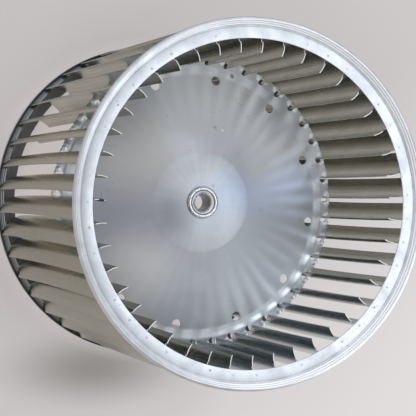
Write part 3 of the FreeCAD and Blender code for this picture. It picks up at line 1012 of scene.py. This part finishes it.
hub_steel = hub_material()
print(hub_steel.name, len(hub_steel.node_tree.nodes), "nodes")

# %% [markdown]
# The hub is turned from bar: a barrel behind the disc, a nose through it, and a grooved flange rolled
# over the disc's face by a notched tool. The section is spun, then the notches and the set screw's hole
# are cut.

# %% Hub
HUB_FOOT = 132.6
HUB_SEAT = 151.8
HUB_TOP = 154.6
HUB_STEPS = 128
HUB_CORNER = 0.2
NOTCHES = 12
NOTCH_HALF = 0.55
NOTCH_TURN = 0.4
SCREW_HOLE_RADIUS = 0.004
SCREW_HOLE_MIDDLE = 0.012
SCREW_HOLE_LENGTH = 0.02
HUB_SECTION = [
    (6.35, HUB_FOOT + 0.6), (6.95, HUB_FOOT), (14.3, HUB_FOOT), (15.0, HUB_FOOT + 0.7),
    (15.0, HUB_SEAT - 1.52), (10.9, HUB_SEAT - 1.52), (10.9, HUB_SEAT), (12.2, HUB_SEAT),
    (12.2, HUB_SEAT + 1.5), (11.9, HUB_TOP - 0.35), (11.3, HUB_TOP), (10.3, HUB_TOP), (9.9, HUB_TOP - 0.5),
    (9.65, HUB_TOP - 0.9), (9.3, HUB_TOP - 0.9), (9.05, HUB_TOP - 0.4), (8.7, HUB_TOP - 0.35),
    (6.8, HUB_TOP - 1.3), (6.35, HUB_TOP - 1.9),
]
hub = spin("hub.turned", rounded(HUB_SECTION, HUB_CORNER, 2), hub_steel, HUB_STEPS)
cutters = bmesh.new()
for index in range(NOTCHES):
    block(cutters, (10.7, -NOTCH_HALF, HUB_SEAT + 1.2), (14.0, NOTCH_HALF, HUB_TOP + 1),
          2 * math.pi * (index + NOTCH_TURN) / NOTCHES)
screw_low, screw_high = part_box("set_screw")
screw_z = (screw_low.z + screw_high.z) / 2
hole = bmesh.ops.create_cone(
    cutters, cap_ends=True, segments=32, radius1=SCREW_HOLE_RADIUS, radius2=SCREW_HOLE_RADIUS,
    depth=SCREW_HOLE_LENGTH)["verts"]
bmesh.ops.rotate(cutters, verts=hole, cent=(0, 0, 0), matrix=Matrix.Rotation(math.pi / 2, 3, "Y"))
bmesh.ops.translate(cutters, verts=hole, vec=(SCREW_HOLE_MIDDLE, 0, screw_z))
carve(hub, cutters)
smooth(hub, CUT_TURN)
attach(hub, "root")
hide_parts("hub")
print("hub triangles", triangles(hub))

# %% [markdown]
# The set screw and the balance clip have the right shape in the frame, so they keep their meshes and
# only get a material: black oxide, which is a dark, slightly oily film with grey wear on its high spots.

# %% Black oxide
def oxide_material():
    material, tree, shader, place = start_metal("black_oxide_steel", 0.42, 0.9)
    grain = fill(tree, grain_group, {"Position": place, "Fine": 2600.0, "Cloud": 300.0})
    worn = ramp(tree, grain["Clouds"], 0.58, 0.72, 0.0, 0.7)
    feed(tree, shader.inputs, {
        "Base Color": blend_colours(tree, worn, grey(0.025), grey(0.22)),
        "Roughness": ramp(tree, grain["Grain"], 0.3, 0.7, 0.34, 0.52),
    })
    bump(tree, shader, grain["Grain"], 0.2, 0.0001)
    return material


KEPT_NODES = ["set_screw", "balance_clip"]
black_oxide = oxide_material()
for name in KEPT_NODES:
    node = nodes[name]
    node.data.materials.clear()
    node.data.materials.append(black_oxide)
print("kept nodes", KEPT_NODES)

# %% [markdown]
# The floor is plain and pale. To camera and mirror rays it is half its own light, so the pale ground
# shows through the blade gaps and in the metal, while the wheel's shadow still darkens it. That glow is
# painted lighter towards +Y, towards one corner and inside the wheel's footprint. One long soft painted
# shadow beside the wheel stands for the shade under a wheel that lies on its side.

# %% Floor
FLOOR = 6.0
FLOOR_GLOW = 0.5


def floor_material():
    material = bpy.data.materials.new("pale_floor")
    material.use_nodes = True
    tree = material.node_tree
    shader = tree.nodes["Principled BSDF"]
    place = add(tree, "ShaderNodeTexCoord").outputs["Object"]
    x, y = xyz(tree, place)[:2]
    cloud = add(tree, "ShaderNodeTexNoise", {"Vector": place, "Scale": 3.0, "Detail": 2.0}).outputs["Fac"]
    # A painted shadow: a long soft ellipse beside the wheel, darkening both the colour and the glow.
    long = add(tree, "ShaderNodeMapping", {
        "Vector": place, "Location": (0.003, -0.150, 0), "Rotation": (0, 0, 0.14), "Scale": (0.40, 1, 0),
    }).outputs[0]
    beside = add(tree, "ShaderNodeVectorMath", {0: long}, operation="LENGTH").outputs["Value"]
    shade = add(tree, "ShaderNodeMapRange", {
        "Value": beside, "From Min": 0.0, "From Max": 0.042, "To Min": 0.8, "To Max": 0.0,
    }, interpolation_type="SMOOTHSTEP").outputs[0]
    tone = blend_colours(tree, cloud, (0.50, 0.47, 0.46, 1), (0.55, 0.52, 0.51, 1))
    feed(tree, shader.inputs, {
        "Base Color": paint(tree, tone, (shade, (0.26, 0.245, 0.235, 1))),
        "Roughness": 0.9,
        "Specular IOR Level": 0.1,
    })
    # The glow colour is painted lighter towards +Y, towards one corner and inside the wheel's footprint.
    painted_glow = blend_colours(tree, ramp(tree, y, -0.1, 0.3), (0.56, 0.53, 0.53, 1), (0.74, 0.70, 0.70, 1))
    across = add(tree, "ShaderNodeVectorMath", {0: place}, operation="LENGTH").outputs["Value"]
    painted_glow = paint(
        tree, painted_glow,
        (ramp(tree, maths(tree, "SUBTRACT", y, x), 0.12, 0.42), (0.84, 0.81, 0.81, 1)),
        (shade, (0.24, 0.23, 0.22, 1)),
        (ramp(tree, across, 0.11, 0.145, 1.0, 0.0), (1.0, 0.93, 0.90, 1)),
    )
    glow = add(tree, "ShaderNodeEmission", {"Color": painted_glow, "Strength": 1.0})
    path = add(tree, "ShaderNodeLightPath")
    seen = maths(tree, "MAXIMUM", path.outputs["Is Camera Ray"], path.outputs["Is Glossy Ray"])
    both = add(tree, "ShaderNodeMixShader", {
        0: times(tree, seen, FLOOR_GLOW), 1: shader.outputs[0], 2: glow.outputs[0],
    })
    feed(tree, tree.nodes["Material Output"].inputs, {"Surface": both.outputs[0]})
    return material


floor_mesh = bpy.data.meshes.new("floor")
corners = [(-FLOOR, -FLOOR, 0), (FLOOR, -FLOOR, 0), (FLOOR, FLOOR, 0), (-FLOOR, FLOOR, 0)]
floor_mesh.from_pydata(corners, [], [(0, 1, 2, 3)])
floor_mesh.materials.append(floor_material())
floor = bpy.data.objects.new("floor", floor_mesh)
scene.collection.objects.link(floor)
print("floor", FLOOR * 2, "m square")

# %% [markdown]
# The light is a soft key window beside the camera, a broad one low at the side, and a pale room all
# round, darker overhead. Mirror-like metal is lit by what it reflects, so these are large: their edges
# give the sheet its soft gradients. Two more windows light the parts that face up, but don't show in the
# metal: one draws the wheel's shadow, the other fills it.

# %% Light
world = bpy.data.worlds.new("room")
scene.world = world
world.use_nodes = True
room = world.node_tree
side, height = xyz(room, add(room, "ShaderNodeTexCoord").outputs["Generated"])[1:]
walls = blend_colours(room, ramp(room, side, -0.9, 0.7), (0.72, 0.765, 0.83, 1), (0.76, 0.745, 0.72, 1))
level = times(
    room, ramp(room, side, -0.95, 0.9, 1.5, 0.78),
    times(room, ramp(room, height, 0.05, 0.6, 0.62, 1.0), ramp(room, height, 0.84, 0.99, 1.0, 0.24)))
feed(room, room.nodes["Background"].inputs, {"Color": walls, "Strength": level})


def window(name, direction, distance, width, power, colour, mirrored=True):
    """A square lamp that looks at the middle of the wheel, and may show in mirror-like metal."""
    lamp = bpy.data.lights.new(name, "AREA")
    lamp.shape = "SQUARE"
    lamp.size = width
    lamp.energy = power
    lamp.color = colour
    target = Vector((0, 0, WIDTH * MM / 2))
    along = Vector(direction).normalized()
    lamp_object = bpy.data.objects.new(name, lamp)
    lamp_object.matrix_world = (
        Matrix.Translation(target + along * distance) @ along.to_track_quat("Z", "Y").to_matrix().to_4x4())
    lamp_object.visible_glossy = mirrored
    scene.collection.objects.link(lamp_object)


window("key_window", (-0.40, -0.02, 0.917), 1.6, 0.9, 3.0, (0.86, 0.93, 1.0))
window("shadow_window", (-0.32, -0.50, 0.80), 1.9, 0.35, 11.0, (1.0, 0.98, 0.96), False)
window("fill_window", (0.25, 0.25, 0.93), 1.9, 0.5, 8.0, (1.0, 0.98, 0.96), False)
window("side_window", (-0.80, 0.47, 0.36), 1.8, 1.3, 10.0, (0.86, 0.93, 1.0))
print("lamps", [lamp.name for lamp in bpy.data.lights])
